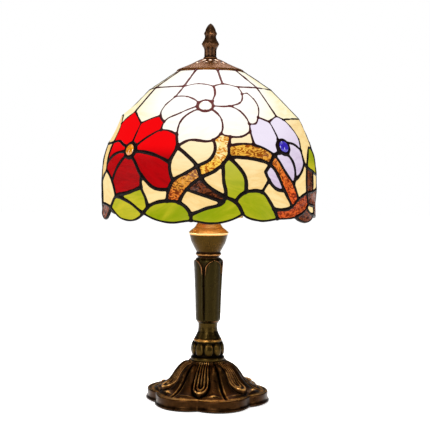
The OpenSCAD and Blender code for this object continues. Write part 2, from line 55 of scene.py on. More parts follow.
# ---- Driving dimensions, mm ----
SHADE_PROFILE = [(96.9, 160), (97.5, 208), (95, 230), (81.2, 263), (55.4, 288), (28.7, 305)]
SEAM = 2.6  # width of a seam in the CAD panes
ROW_SEAM = 2.0  # and in the two plain top rows
SAME_POINT = 2.0  # corners of neighbouring panes closer than this are one
SHARPEST = 0.02  # limit on how far a mitred corner may reach
GLASS_T = 2.2
SHADE_INSIDE = (0, 0, 0.2)  # a point on the axis, in metres
BULB = (0, 0, 268)
HOT_SPOT = (0, 48, 272)  # the brightest glass, on the shade's front and on its back
BASE_TONE = 0.40  # of cast metal that is neither raised nor hollow
HIDDEN_TONE = 0.1

TOP_ROWS = "glass_top_rows"
GLASS_NODES = (TOP_ROWS, "glass_field", "glass_white_petals", "glass_red_petals",
    "glass_lavender_petals", "glass_leaves", "glass_branches")


# ---- Small geometry ----
def unit(v):
    v = np.asarray(v, float)
    return v / np.maximum(np.linalg.norm(v, axis=-1, keepdims=True), 1e-12)


def through_tangent(before, here, after):
    """Direction of a curve through three points: exact for points of a circle."""
    a, b = here - before, after - here
    la, lb = np.linalg.norm(a), np.linalg.norm(b)
    return unit(a / la * lb + b / lb * la)


def hermite(a, b, ta, tb, count):
    """count + 1 points from a to b, leaving along ta and arriving along tb."""
    t = np.linspace(0, 1, count + 1)[:, None]
    length = np.linalg.norm(b - a)
    return (
        (2 * t**3 - 3 * t**2 + 1) * a
        + (t**3 - 2 * t**2 + t) * length * ta
        + (3 * t**2 - 2 * t**3) * b
        + (t**3 - t**2) * length * tb
    )


def smooth_path(points, step):
    """A smooth open curve through the points, sampled about every step."""
    p = np.asarray(points, float)
    tangents = [through_tangent(*p[i - 1 : i + 2]) for i in range(1, len(p) - 1)]
    first = unit(2 * unit(p[1] - p[0]) - tangents[0])
    last = unit(2 * unit(p[-1] - p[-2]) - tangents[-1])
    tangents = [first, *tangents, last]
    out = [p[:1]]
    for i in range(len(p) - 1):
        count = max(1, round(np.linalg.norm(p[i + 1] - p[i]) / step))
        out.append(hermite(p[i], p[i + 1], tangents[i], tangents[i + 1], count)[1:])
    return np.concatenate(out)


def rounded(points, passes=2, cut=0.25):
    """A polyline with its corners cut, its ends kept."""
    p = np.asarray(points, float)
    for _ in range(passes):
        a, b = p[:-1], p[1:]
        near, far = a + (b - a) * cut, b + (a - b) * cut
        p = np.concatenate([p[:1], np.stack([near, far], 1).reshape(-1, p.shape[1]), p[-1:]])
    return p


def resampled(points, step):
    """The same polyline with a point about every step."""
    p = np.asarray(points, float)
    along = np.concatenate([[0], np.cumsum(np.linalg.norm(np.diff(p, axis=0), axis=1))])
    at = np.linspace(0, along[-1], max(2, round(along[-1] / step)) + 1)
    return np.stack([np.interp(at, along, p[:, k]) for k in range(p.shape[1])], 1)


def bell(x, centre, width):
    """1 at the centre, falling to 0 over about two widths."""
    return np.exp(-(((x - centre) / width) ** 2))


def ramp01(x, low, high):
    """0 below low, 1 above high, smooth between."""
    t = np.clip((x - low) / (high - low), 0, 1)
    return t * t * (3 - 2 * t)


def polar(azimuth, radius, z):
    """Points from azimuths in radians, radii and heights."""
    parts = np.broadcast_arrays(radius * np.sin(azimuth), -radius * np.cos(azimuth), z)
    return np.stack(parts, -1)


def full_turn(count):
    """Even azimuths round a full turn."""
    return np.linspace(0, 2 * np.pi, count, endpoint=False)


def spokes(normal, turn):
    """Unit vectors square to the normal, at the given turns about it."""
    u = unit(np.cross(normal, (0, 0, 1)))
    return np.cos(turn)[:, None] * u + np.sin(turn)[:, None] * np.cross(normal, u)


def ripple(point, scale, seed=0.0):
    """Smooth noise between -1 and 1."""
    return noise.noise(Vector(point * scale + seed))


# ---- Meshes and pieces ----
def smooth_shaded(mesh):
    mesh.polygons.foreach_set("use_smooth", [True] * len(mesh.polygons))
    return mesh


def make_mesh(name, points, faces, **attributes):
    """A mesh from millimetre points. attributes are per point numbers or vectors."""
    mesh = bpy.data.meshes.new(name)
    mesh.from_pydata((np.asarray(points) * MM).tolist(), [], faces)
    for key, values in attributes.items():
        values = np.asarray(values, np.float32)
        kind, field = ("FLOAT", "value") if values.ndim == 1 else ("FLOAT_VECTOR", "vector")
        mesh.attributes.new(key, kind, "POINT").data.foreach_set(field, values.ravel())
    mesh.update()
    return smooth_shaded(mesh)


def mesh_points(mesh):
    """A mesh's points in millimetres."""
    co = np.empty(len(mesh.vertices) * 3)
    mesh.vertices.foreach_get("co", co)
    return co.reshape(-1, 3) / MM


def sharp_rim(mesh, angle=60):
    """Keeps edges sharper than the angle crisp in a smooth shaded mesh."""
    bm = bmesh.new()
    bm.from_mesh(mesh)
    bmesh.ops.recalc_face_normals(bm, faces=bm.faces)
    for edge in bm.edges:
        if edge.calc_face_angle(0) > math.radians(angle):
            edge.smooth = False
    bm.to_mesh(mesh)
    bm.free()
    return mesh


def linked(name, data):
    """A new object in the scene."""
    obj = bpy.data.objects.new(name, data)
    bpy.context.scene.collection.objects.link(obj)
    return obj


def piece(name, mesh, material, body, slot, *replaced):
    """Puts a new piece on a CAD body, in place of the CAD nodes it stands for."""
    mesh.materials.clear()
    mesh.materials.append(material)
    obj = linked(name, mesh)
    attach(obj, body)
    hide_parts(*replaced)


def modified(mesh, *modifiers):
    """The mesh after modifiers, each given as (type, {setting: value})."""
    obj = linked("work", mesh)
    for kind, settings in modifiers:
        modifier = obj.modifiers.new(kind, kind)
        for key, value in settings.items():
            setattr(modifier, key, value)
    bpy.context.view_layer.update()
    shaped = obj.evaluated_get(bpy.context.evaluated_depsgraph_get())
    result = bpy.data.meshes.new_from_object(shaped)
    bpy.data.objects.remove(obj)
    return smooth_shaded(result)


class Soup:
    """Collects the points and faces of many small shells."""

    def __init__(self):
        self.points, self.faces, self.count = [], [], 0

    def add(self, points, faces):
        self.points.append(np.asarray(points, float).reshape(-1, 3))
        self.faces.extend([[i + self.count for i in f] for f in faces])
        self.count += len(self.points[-1])

    def mesh(self, name, **attributes):
        return make_mesh(name, np.concatenate(self.points), self.faces, **attributes)


def cut(mesh, soup):
    """The mesh with the soup's solids taken out."""
    tool = linked("cutter", soup.mesh("cutter"))
    settings = {"operation": "DIFFERENCE", "object": tool, "solver": "EXACT"}
    result = modified(mesh, ("BOOLEAN", settings))
    bpy.data.objects.remove(tool)
    return result


def grid_faces(rows, columns, wrap_rows=False):
    """Quads of a rows by columns grid whose columns run round."""
    last = rows if wrap_rows else rows - 1
    faces = []
    for i in range(last):
        a, b = i * columns, (i + 1) % rows * columns
        for j in range(columns):
            k = (j + 1) % columns
            faces.append((a + j, a + k, b + k, b + j))
    return faces


def capped_faces(rows, columns):
    """The same grid, closed at both ends."""
    last = (rows - 1) * columns
    caps = [tuple(reversed(range(columns))), tuple(range(last, last + columns))]
    return grid_faces(rows, columns) + caps


def add_tube(soup, path, side, normal, half_width, half_height, around=10):
    """A closed tube along a path, with an elliptical section in (side, normal)."""
    turn = full_turn(around)
    across = np.reshape(half_width, (-1, 1)) * np.cos(turn)
    up = np.reshape(half_height, (-1, 1)) * np.sin(turn)
    rings = path[:, None] + side[:, None] * across[..., None] + normal[:, None] * up[..., None]
    soup.add(rings, [f[::-1] for f in capped_faces(len(path), around)])


def add_turned(soup, profile, sides, centre, normal):
    """A closed solid of revolution, its profile given as radii and heights along the normal."""
    ring = spokes(normal, full_turn(sides))
    points = centre + profile[:, :1, None] * ring + profile[:, 1:, None] * normal
    soup.add(points, capped_faces(len(profile), sides))


# ---- The dome ----
DOME = resampled(rounded(SHADE_PROFILE, 2, 0.16), 0.2)
DOME_ALONG = unit(np.gradient(DOME, axis=0))


def on_dome(points):
    """The nearest points on the shade's middle surface, and its outward normals."""
    p = np.asarray(points, float)
    rz = np.stack([np.hypot(p[:, 0], p[:, 1]), p[:, 2]], 1)
    best = ((rz[:, None] - DOME[None]) ** 2).sum(2).argmin(1)
    along = DOME_ALONG[best]
    slide = ((rz - DOME[best]) * along).sum(1, keepdims=True)
    foot = DOME[best] + along * slide
    azimuth = np.arctan2(p[:, 0], -p[:, 1])
    normal = polar(azimuth, along[:, 1], -along[:, 0])
    return polar(azimuth, foot[:, 0], foot[:, 1]), normal


# ---- The pattern, read from the CAD panes ----
def plates(node):
    """The outer face outline of each flat plate in a CAD node, and its normal."""
    bm = bmesh.new()
    bm.from_mesh(nodes[node].data)
    bmesh.ops.remove_doubles(bm, verts=bm.verts, dist=2e-6)
    seen, found = set(), []
    for start in bm.faces:
        if start in seen:
            continue
        seen.add(start)
        island = [start]
        for face in island:
            for near in (f for edge in face.edges for f in edge.link_faces if f != face):
                if near not in seen:
                    seen.add(near)
                    island.append(near)
        found.append(outer_outline(island))
    bm.free()
    return found


def outer_outline(island):
    """The boundary of a plate's outer side, anticlockwise seen from outside."""
    centre = sum((f.calc_center_median() for f in island), Vector()) / len(island)
    outward = centre - Vector(SHADE_INSIDE)
    areas = {}
    for f in island:
        key = tuple(round(x, 2) for x in f.normal)
        if f.normal.dot(outward) > 0:
            areas[key] = areas.get(key, 0) + f.calc_area()
    normal = Vector(max(areas, key=areas.get)).normalized()
    side = [f for f in island if f.normal.dot(normal) > 0.99]
    following = {}
    for f in side:
        for loop in f.loops:
            if not any(g in side for g in loop.edge.link_faces if g != f):
                following[loop.vert] = loop.link_loop_next.vert
    vert = next(iter(following))
    outline = []
    for _ in range(len(following)):
        outline.append(tuple(vert.co))
        vert = following[vert]
    return np.array(outline) / MM, np.array(normal)


def grown(outline, normal, distance):
    """A flat outline moved outwards by a distance, its corners mitred."""
    edge = unit(np.roll(outline, -1, 0) - outline)
    out = np.cross(edge, normal)
    before = np.roll(out, 1, 0)
    stretch = np.maximum(1 + (out * before).sum(1, keepdims=True), SHARPEST)
    return outline + distance * (out + before) / stretch


SMOOTH_TURN = 47  # degrees through which a seam runs on smoothly into another
SMOOTH_PAIR = 58  # and where only two seams meet
SEAM_STEP = 1.6
ROW_STEP = 2


class Pattern:
    """The seams as a graph on the dome: corners shared by panes, and curves between them."""

    def __init__(self):
        self.corners = []
        self.panes = {}
        self.edges = {}
        for node in GLASS_NODES:
            self.panes[node] = []
            grow = (ROW_SEAM if node == TOP_ROWS else SEAM) / 2
            for outline, normal in plates(node):
                centred = on_dome(grown(outline, normal, grow) - normal * GLASS_T / 2)[0]
                ring = [self.corner(p) for p in centred]
                ring = [c for i, c in enumerate(ring) if c != ring[i - 1]]
                self.panes[node].append(ring)
                for a, b in zip(ring, ring[1:] + ring[:1]):
                    self.edges.setdefault((min(a, b), max(a, b)), []).append(node)
        self.corners = np.array(self.corners)
        self.around = {}
        for a, b in self.edges:
            self.around.setdefault(a, []).append(b)
            self.around.setdefault(b, []).append(a)
        self.headings = self.all_headings()
        self.curves = {edge: self.curve(*edge) for edge in self.edges}

    def corner(self, point):
        for i, p in enumerate(self.corners):
            if np.abs(p - point).max() < SAME_POINT and np.linalg.norm(p - point) < SAME_POINT:
                return i
        self.corners.append(point)
        return len(self.corners) - 1

    def all_headings(self):
        """For each (corner, neighbour), the way the seam leaves the corner where it runs on
        smoothly into another seam."""
        headings = {}
        for c, others in self.around.items():
            here = self.corners[c]
            limit = math.cos(math.radians(SMOOTH_PAIR if len(others) == 2 else SMOOTH_TURN))
            pairs = []
            for i, a in enumerate(others):
                for b in others[i + 1 :]:
                    run = -unit(self.corners[a] - here) @ unit(self.corners[b] - here)
                    if run > limit:
                        pairs.append((run, a, b))
            taken = set()
            for _, a, b in sorted(pairs, reverse=True):
                if a in taken or b in taken:
                    continue
                taken.update((a, b))
                t = through_tangent(self.corners[a], here, self.corners[b])
                headings[c, b], headings[c, a] = t, -t
        return headings

    def curve(self, a, b):
        """Points of the seam between two corners, on the dome."""
        pa, pb = self.corners[a], self.corners[b]
        length = np.linalg.norm(pb - pa)
        if set(self.edges[a, b]) == {TOP_ROWS}:
            return np.linspace(pa, pb, max(2, round(length / ROW_STEP)) + 1)
        chord = unit(pb - pa)
        ta, tb = self.headings.get((a, b)), self.headings.get((b, a))
        tb = None if tb is None else -tb
        if ta is None:
            ta = chord if tb is None else unit(2 * chord - tb)
        if tb is None:
            tb = unit(2 * chord - ta)
        count = max(2, round(length / SEAM_STEP))
        return on_dome(hermite(pa, pb, ta, tb, count))[0]

    def outline(self, ring):
        """The closed curve round a pane."""
        parts = []
        for a, b in zip(ring, ring[1:] + ring[:1]):
            points = self.curves[min(a, b), max(a, b)]
            parts.append((points if a < b else points[::-1])[:-1])
        return np.concatenate(parts)


# ---- Glass panes ----
UNDER_BEAD = 0.5  # a pane's edge stops this far from the middle of its seam
FLATNESS = 0.85  # 0 follows the dome, 1 is a film stretched over the pane's rim
ROW_RATIO = 0.866  # rows of a lattice of even triangles


def inside(points, outline, margin):
    """Which 2-D points are in the outline and clear of it by the margin."""
    a, b = outline, np.roll(outline, -1, 0)
    x, y = points[:, :1], points[:, 1:]
    crosses = (a[:, 1] > y) != (b[:, 1] > y)
    rise = np.where(b[:, 1] == a[:, 1], 1e-9, b[:, 1] - a[:, 1])
    hit = crosses & (x < (b[:, 0] - a[:, 0]) * (y - a[:, 1]) / rise + a[:, 0])
    d = b - a
    t = ((points[:, None] - a) * d).sum(2) / np.maximum((d * d).sum(1), 1e-9)
    near = a + np.clip(t, 0, 1)[..., None] * d
    gap = np.linalg.norm(points[:, None] - near, axis=2).min(1)
    return (hit.sum(1) % 2 == 1) & (gap > margin)


def lattice(outline, spacing):
    """Points of a lattice of even triangles inside a 2-D outline."""
    low, high = outline.min(0), outline.max(0)
    rows = []
    for i, y in enumerate(np.arange(low[1], high[1], spacing * ROW_RATIO)):
        x = np.arange(low[0] + spacing / 2 * (i % 2), high[0], spacing)
        rows.append(np.stack([x, np.full(len(x), y)], 1))
    points = np.concatenate(rows)
    return points[inside(points, outline, spacing * 0.55)]


def rolled(point, seed):
    """Slow waves of hand rolled sheet glass."""
    return 0.16 * ripple(point, 0.085, seed) + 0.05 * ripple(point, 0.3, seed)


def hammered(point, seed):
    """Small round dimples of hammered glass."""
    near = noise.voronoi(Vector(point * 0.27 + seed))[0]
    return 0.42 * min(near[0], 0.75) + 0.1 * ripple(point, 0.1, seed)


def pane_shell(outline, spacing, surface, dice):
    """Points, faces and pane-local grain coordinates of one pane."""
    centre = outline.mean(0)
    normal = unit(np.cross(outline - centre, np.roll(outline, -1, 0) - centre).sum(0))
    u = unit(np.array([-normal[1], normal[0], 0]))
    v = np.cross(normal, u)
    flat = np.stack([(outline - centre) @ u, (outline - centre) @ v], 1)
    way = unit(np.roll(flat, -1, 0) - np.roll(flat, 1, 0))
    flat = flat + UNDER_BEAD * np.stack([-way[:, 1], way[:, 0]], 1)
    inner = lattice(flat, spacing)
    count = len(flat)
    loop = [(i, (i + 1) % count) for i in range(count)]
    points, _, triangles, *_ = delaunay_2d_cdt(
        [Vector(p) for p in np.concatenate([flat, inner])], loop, [list(range(count))], 1, 1e-5
    )
    xy = np.array([tuple(p) for p in points])
    size = len(xy)
    triangles = [list(t) for t in triangles]
    plane = centre + xy[:, :1] * u + xy[:, 1:] * v
    dome, dome_normal = on_dome(plane)
    bulge = ((dome - plane) * dome_normal).sum(1) / np.maximum((dome_normal @ normal), 0.5)
    rim_lift = (outline - centre) @ normal
    weight = (np.linalg.norm(xy[:, None] - flat[None], axis=2) + 0.05) ** -3.0
    film = (weight * rim_lift).sum(1) / weight.sum(1)
    lift = FLATNESS * film + (1 - FLATNESS) * bulge
    middle = plane + lift[:, None] * normal
    seed = dice.uniform(0, 90)
    wave = np.array([surface(p, seed) for p in plane])[:, None]
    outer = middle + (GLASS_T / 2 + wave) * normal
    back = middle - GLASS_T / 2 * normal
    used = dict.fromkeys((a, b) for t in triangles for a, b in zip(t, t[1:] + t[:1]))
    faces = triangles + [[i + size for i in reversed(t)] for t in triangles]
    faces += [[b, a, a + size, b + size] for a, b in used if (b, a) not in used]
    turn = dice.uniform(-0.5, 0.5)
    sin, cos = math.sin(turn), math.cos(turn)
    local = np.stack([xy @ (cos, -sin), xy @ (sin, cos), np.zeros(size)], 1)
    local += dice.uniform(0, 500)
    return np.concatenate([outer, back]), faces, np.concatenate([local, local])


def wood_age(outline):
    """Tone of a pane of branch: 0 for the bright trunk in front, up to 1 for dark bark."""
    x, y, z = outline.mean(0)
    azimuth = (math.degrees(math.atan2(x, -y)) + 90) % 180 - 90
    if z < 200 and abs(azimuth) < 10:
        return 1.0
    lower_trunk = 0.2 * (z < 215 and azimuth < 8)
    return float(lower_trunk + 0.35 * ramp01(azimuth, 8, 30) + 0.4 * ramp01(abs(azimuth), 45, 62))


def glass_piece(name, node, slot, material, spacing=2.6, surface=rolled, shade_of=None):
    """All panes of one CAD node, smoothed to the seams."""
    dice = random.Random(node)
    soup, grain, tone = Soup(), [], []
    for ring in pattern.panes[node]:
        outline = pattern.outline(ring)
        points, faces, local = pane_shell(outline, spacing, surface, dice)
        soup.add(points, faces)
        grain.append(local)
        value = shade_of(outline) if shade_of else dice.random()
        tone.append(np.full(len(points), value))
    mesh = soup.mesh(name, grain=np.concatenate(grain), tone=np.concatenate(tone))
    piece(name, sharp_rim(mesh, 50), material, "shade", slot, node)


# ---- Solder seams ----
SEAM_HALF = 2.0  # half width of a bead low on the shade
TOP_SEAM = 0.72  # share of it high on the shade
ROW_HALF = 1.5  # in the two plain top rows
BORDER_HALF = 1.15  # along the lower edge of the shade
BORDER_TOP = 200
BEAD_UP = 0.95  # how far a bead stands over the glass
JEWEL_RING = 6.6
JEWELS = ("jewels_amber", "jewels_blue", "jewels_white")


def jewel_places(wanted):
    """(point on the dome, normal) of each jewel in the wanted nodes. A node has one jewel on
    either side of the lamp."""
    out = []
    for node in wanted:
        co = mesh_points(nodes[node].data)
        axis = 1 if node == "jewels_white" else 0
        for sign in (1, -1):
            centre, normal = on_dome(co[co[:, axis] * sign > 0].mean(0)[None])
            out.append((centre[0], normal[0]))
    return out


def thinned(z):
    """Share of a bead's width at a height: beads are finer near the top."""
    return 1 - (1 - TOP_SEAM) * ramp01(z, 225, 255)


def bead_along(soup, path, half):
    """One bead of solder along points on the dome, a little uneven."""
    normal = on_dome(path)[1]
    side = unit(np.cross(unit(np.gradient(path, axis=0)), normal))
    swell = np.array([1 + 0.16 * ripple(p, 0.16) for p in path])
    if half == SEAM_HALF:
        swell *= thinned(path[:, 2])
    add_tube(soup, path, side, normal, half * swell, bead_height(half) * swell)


def bead_height(half):
    """Half height of a bead through the glass."""
    return GLASS_T / 2 + BEAD_UP * math.sqrt(half / SEAM_HALF)


def blob(soup, centre, normal, half):
    """A drop of solder over a joint."""
    fall = np.linspace(0.01, np.pi - 0.01, 7)
    profile = np.stack([half * np.sin(fall), bead_height(half) * np.cos(fall)], 1)
    add_turned(soup, profile, 12, centre, normal)


def seam_mesh():
    """Every bead and joint, fused into one skin."""
    soup = Soup()
    halves = {}
    for edge, panes in pattern.edges.items():
        half = ROW_HALF if set(panes) == {TOP_ROWS} else SEAM_HALF
        if len(panes) == 1 and pattern.curves[edge][:, 2].max() < BORDER_TOP:
            half = BORDER_HALF
        bead_along(soup, pattern.curves[edge], half)
        for c in edge:
            halves.setdefault(c, []).append(half)
    places, normals = on_dome(pattern.corners)
    for c, meeting in halves.items():
        half = np.mean(meeting) * (1.25 if len(meeting) > 2 else 1.0)
        if max(meeting) == SEAM_HALF:
            half *= thinned(places[c][2])
        blob(soup, places[c], normals[c], half)
    for centre, normal in jewel_places(JEWELS):
        circle = centre + JEWEL_RING * spokes(normal, np.linspace(0, 2 * np.pi, 33))
        bead_along(soup, circle, SEAM_HALF)
    return modified(
        soup.mesh("seams"),
        ("REMESH", {"mode": "VOXEL", "voxel_size": 0.72 * MM}),
        ("SMOOTH", {"factor": 0.5, "iterations": 2}),
        ("DECIMATE", {"ratio": 0.62}),
    )


# ---- Jewels ----
JEWEL_PROFILE = [(0, 3.5), (2.8, 3.3), (4.9, 1.9), (5.5, 0.4), (5.5, -1.6), (0, -1.9)]


def jewel_mesh(node):
    """Pressed glass cabochons: a smooth dome on a short girdle."""
    soup = Soup()
    profile = rounded(JEWEL_PROFILE, 3)
    profile[:, 0] = np.maximum(profile[:, 0], 0.02)
    for centre, normal in jewel_places([node]):
        add_turned(soup, profile, 40, centre, normal)
    return sharp_rim(soup.mesh(node))


# ---- Turned and cast metal ----
def cad_profile(node, middle, count, half_width):
    """Outer (radius, height) corners of a turned CAD node, from the bottom up. Only corners in
    the middle of one of count equal sectors are read, clear of the cuts between them."""
    co = mesh_points(nodes[node].data)
    off = sector(np.arctan2(co[:, 0], -co[:, 1]), middle, count)
    co = co[np.abs(off) < half_width]
    r, z = np.hypot(co[:, 0], co[:, 1]), np.round(co[:, 2], 1)
    return np.array([(r[z == h].max(), h) for h in sorted(set(z))])


def ring_skin(name, azimuth, radius, z, tone):
    """A closed skin from rows of rings; the last row joins the first."""
    points = polar(azimuth, radius, z).reshape(-1, 3)
    faces = grid_faces(len(radius), len(azimuth), wrap_rows=True)
    return sharp_rim(make_mesh(name, points, faces, tone=tone.ravel()))


def turned_mesh(name, profile, bore, relief=None, segments=240, step=0.55):
    """A skin of revolution. relief(azimuth, radius, height) gives the rise of the surface,
    and how gilded (1) or dark (0) it is there."""
    outer = resampled(rounded(profile), step)
    azimuth = full_turn(segments)
    along = unit(np.gradient(outer, axis=0))
    turning = along[:-1, 0] * along[1:, 1] - along[:-1, 1] * along[1:, 0]
    turning = np.convolve(np.append(turning, 0), np.ones(3) / 3, "same") / step
    shape = (len(outer), segments)
    tone = np.broadcast_to((BASE_TONE + 0.7 * turning)[:, None], shape)
    rise = 0
    if relief:
        rise, extra = relief(np.broadcast_to(azimuth, shape), outer[:, :1], outer[:, 1:])
        tone = tone + extra
    radius = np.broadcast_to(outer[:, :1] + rise * along[:, 1:], shape)
    z = np.broadcast_to(outer[:, 1:] - rise * along[:, :1], shape)
    radius = np.vstack([radius, np.full((2, segments), bore)])
    z = np.vstack([z, np.repeat(outer[[-1, 0], 1:], segments, axis=1)])
    tone = np.vstack([tone, np.full((2, segments), HIDDEN_TONE)])
    return ring_skin(name, azimuth, radius, z, np.clip(tone, 0, 1))


def sector(azimuth, start, count):
    """Angle in degrees from the middle of the nearest of count equal sectors."""
    size = 360 / count
    return (np.degrees(azimuth) - start + size / 2) % size - size / 2


PADS, PAD_TURN = 10, 4
PAD_Z, PAD_HALF, RING_Z = 49.2, 6.2, 57.2


def gadroon_relief(azimuth, radius, z):
    """Padded tongues round the bulb of the lower stem, under a rubbed ring."""
    across = np.abs(sector(azimuth, PAD_TURN, PADS)) / (180 / PADS)
    tall = np.clip(1 - ((z - PAD_Z) / PAD_HALF) ** 2, 0, 1) ** 0.32
    place = across / np.maximum(0.97 * tall, 1e-3)
    pad = np.clip(1 - place**6, 0, 1)
    here = ramp01(z, 42.6, 44) * ramp01(-z, -56, -54.6)
    groove = 1 - pad
    ring = bell(z, RING_Z, 1.4)
    # Darker bands at the upper and lower ends of the pads and above the foot: painted shade.
    painted_shade_bands = -0.30 * bell(z, 54.9, 0.7) - 0.28 * bell(z, 43.2, 1.0) - 0.22 * bell(z, 40, 1.8)
    # Lighter lines near the edges of the upper pads: rubbed gilt and a painted highlight.
    rubbed_and_highlight = 0.09 * bell(place, 0.7, 0.2) * ramp01(z, 45, 49)
    rise = here * (0.7 * pad - groove) + 0.5 * ring
    return rise, here * (rubbed_and_highlight + 0.03 * pad - 0.45 * groove) + 0.3 * ring + painted_shade_bands


LEAVES, LEAF_TURN = 4, 25
ARCH_Z, ARCH_RISE = 122.6, 9.4


def leaf_relief(azimuth, radius, z):
    """Tall leaves with arched tops round the column."""
    turn = np.abs(sector(azimuth, LEAF_TURN, LEAVES))
    across = np.radians(turn) * radius
    arch = np.clip(1 - (np.maximum(z - ARCH_Z, 0) / ARCH_RISE) ** 2, 0, 1) ** 0.45
    half = np.pi / LEAVES * radius * arch - 0.8 - 0.5 * ramp01(z, 115, 124)
    into = half - across
    leaf = ramp01(into, -0.3, 0.4)
    rim = bell(into, 0.5, 0.5) * ramp01(z, 77, 84)
    inner = bell(into, 2.3, 0.5) * ramp01(z, 112, 124)
    low = ramp01(-z, -76.4, -74.5)
    seam = bell(np.pi / LEAVES * radius, across, 0.28)
    notch = ramp01(z, 114, 125)
    rise = -0.25 - 0.6 * notch + (0.8 + 0.6 * notch) * leaf + 0.4 * rim - 0.45 * seam * (1 - leaf)
    tone = rim * (0.06 + 0.40 * ramp01(z, 112, 126)) - 0.2 * bell(into, -0.5, 0.5)
    tone = tone - 0.12 * (seam + notch) * (1 - leaf) - 0.14 * inner
    return (rise - 0.25 * inner) * (1 - low), tone


KNOB_UP, TIP_UP = 13.4, 22.9  # heights over the finial's lower end


def flute_relief(azimuth, radius, z):
    """The finial: flutes, four scroll knobs, leaf tips and a ribbed bud."""
    up = z - FINIAL_LOW
    flutes = np.cos(np.radians(sector(azimuth, 0, 8) * 8))
    flutes = flutes * ramp01(up, 1.5, 3.5) * ramp01(-up, -11, -9)
    face = sector(azimuth, 0, 4)
    knob = bell(face, 0, 21) * bell(up, KNOB_UP, 2.4)
    tip = bell(face, 0, 14) * bell(up, TIP_UP, 1.4)
    bud = ramp01(up, 25, 27) * np.cos(np.radians(face * 4))
    curl = bell(np.hypot(face / 9, (up - KNOB_UP) / 1.2), 1, 0.4) * knob
    rise = 0.45 * flutes + 1.2 * knob - 0.4 * curl + 0.7 * tip + 0.35 * bud
    return rise, 0.4 * tip + 0.15 * knob - 0.3 * curl + 0.15 * flutes - 0.06


FINIAL_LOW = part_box("finial")[0][2] / MM
FINIAL_PROFILE = [
    (0.1, 0), (6.6, 0), (6.6, 0.6), (5.3, 2.2), (5.1, 4), (5.1, 8.6), (5.7, 9.6), (6.7, 11.6),
    (6.9, 14), (6.2, 16.4), (5.3, 18.6), (5.0, 20.4), (5.3, 22.6), (5.2, 24.2), (4.6, 25.8),
    (3.5, 28.2), (1.9, 30.6), (0.1, 32)
]


# ---- Foot ----
FOOT_LOBES = 6
LOBE_AT, LOBE_R, LOBE_TURN = 28, 30, 20
BELL = [(17, 38), (17.6, 36.6), (21.3, 34.7), (26, 31), (30.2, 25.5), (33, 21.2),
    (36.5, 17.2), (41, 13.7), (46.5, 11.2)]
BELL_STEP = 0.46
BELL_PATH = resampled(smooth_path(BELL, 0.3), BELL_STEP)
BELL_LENGTH = BELL_STEP * (len(BELL_PATH) - 1)
PALMETTE_END = 0.62  # share of the bell's length where the loops start to close
PALMETTE_POINT = 0.50  # how slowly they close: below 1 they end in a point
PLATE_Z = 10.7
PLATE_ROWS = 15
PLATE_SIDE = [(-1.9, 0.1), (-1.5, -0.35), (-1.3, -1.1), (-1.35, -2.2), (-1.4, -3.6),
    (-1.4, -5.2), (-1.3, -6.4), (-0.9, -7.1), (-0.25, -7.6), (0, -8.3), (0, -9.2)]
FELT_Z = 1.2
HOLLOW = [(38, FELT_Z), (38, 10.5), (29, 16.5), (23.5, 23), (14, 32), (5, 32), (5, 38)]


SOFT_MAX = 48  # power of the soft maximum that joins the lobes


def lobed_radius(azimuth):
    """Outline of the plate: six round lobes, softly joined."""
    out = np.zeros_like(azimuth)
    for k in range(FOOT_LOBES):
        a = azimuth - math.radians(LOBE_TURN + k * 60)
        under = np.maximum(LOBE_R**2 - (LOBE_AT * np.sin(a)) ** 2, 0)
        r = np.where(np.cos(a) > 0, LOBE_AT * np.cos(a) + np.sqrt(under), 1)
        out += r**SOFT_MAX
    return out ** (1 / SOFT_MAX)


def foot_relief(azimuth, along, r):
    """Rise and tone of the palmettes and petals over the bell. along runs in mm from the
    bell's top."""
    phi = np.radians(sector(azimuth, LOBE_TURN - 30, FOOT_LOBES))
    down = along / BELL_LENGTH
    past = PALMETTE_POINT * np.maximum(along - PALMETTE_END * BELL_LENGTH, 0)
    wide = np.abs(phi) * r
    rho = np.hypot(wide * (1.35 - 0.45 * ramp01(down, 0, 0.6)), past)
    tip = ramp01(down, 0.55, 0.98)
    vein = bell(rho, 0, 0.6) * (1 - ramp01(down, 0.55, 0.68))
    inner = bell(rho, 2.7, 0.75)
    outer = bell(rho, 5.4, 0.85)
    grooves = bell(rho, 4.1, 0.7) + bell(rho, 1.3, 0.6)
    outside = bell(rho, 6.9, 0.7)
    edge = math.radians(30) * r
    start = np.sqrt(np.maximum(7.2**2 - past**2, 0))
    middle, half = (start + edge) / 2, np.maximum((edge - start) / 2, 0.6)
    side = np.clip(1 - ((wide - middle) / half) ** 2, 0, 1) * ramp01(rho, 7, 8)
    tongue = ramp01(-rho, -7.0, -5.7) * ramp01(down, 0.55, 0.9)
    border = bell(wide, edge, 0.9)
    lip = bell(wide, edge - 2.0, 0.8) * ramp01(down, 0.3, 0.8)
    foot_line = bell(down, 0.975, 0.022) * side
    curl = bell(phi, 0.3, 0.06) * bell(along, 0.95 * BELL_LENGTH, 2.2)
    rise = (
        (0.7 + 1.2 * tip) * outer + (0.55 + 0.9 * tip) * inner + 0.5 * vein
        - 0.8 * grooves - 1.0 * outside + 1.5 * side - 1.3 * border + 0.4 * lip
        + 0.6 * foot_line + 1.4 * curl + 2.6 * tongue
    ) * (0.35 + 0.65 * ramp01(along, 1, 9))
    # The side petals are lighter high on the bell: a painted highlight.
    tone = (
        (0.3 + 0.2 * tip) * (outer + inner) + 0.3 * (vein + lip + foot_line) + 0.35 * curl
        + 0.16 * side * bell(down, 0.3, 0.2) - 0.42 * (grooves + outside + border)
    )
    fade = 1 - ramp01(down, 1.0, 1.12)
    return rise * fade, tone * fade


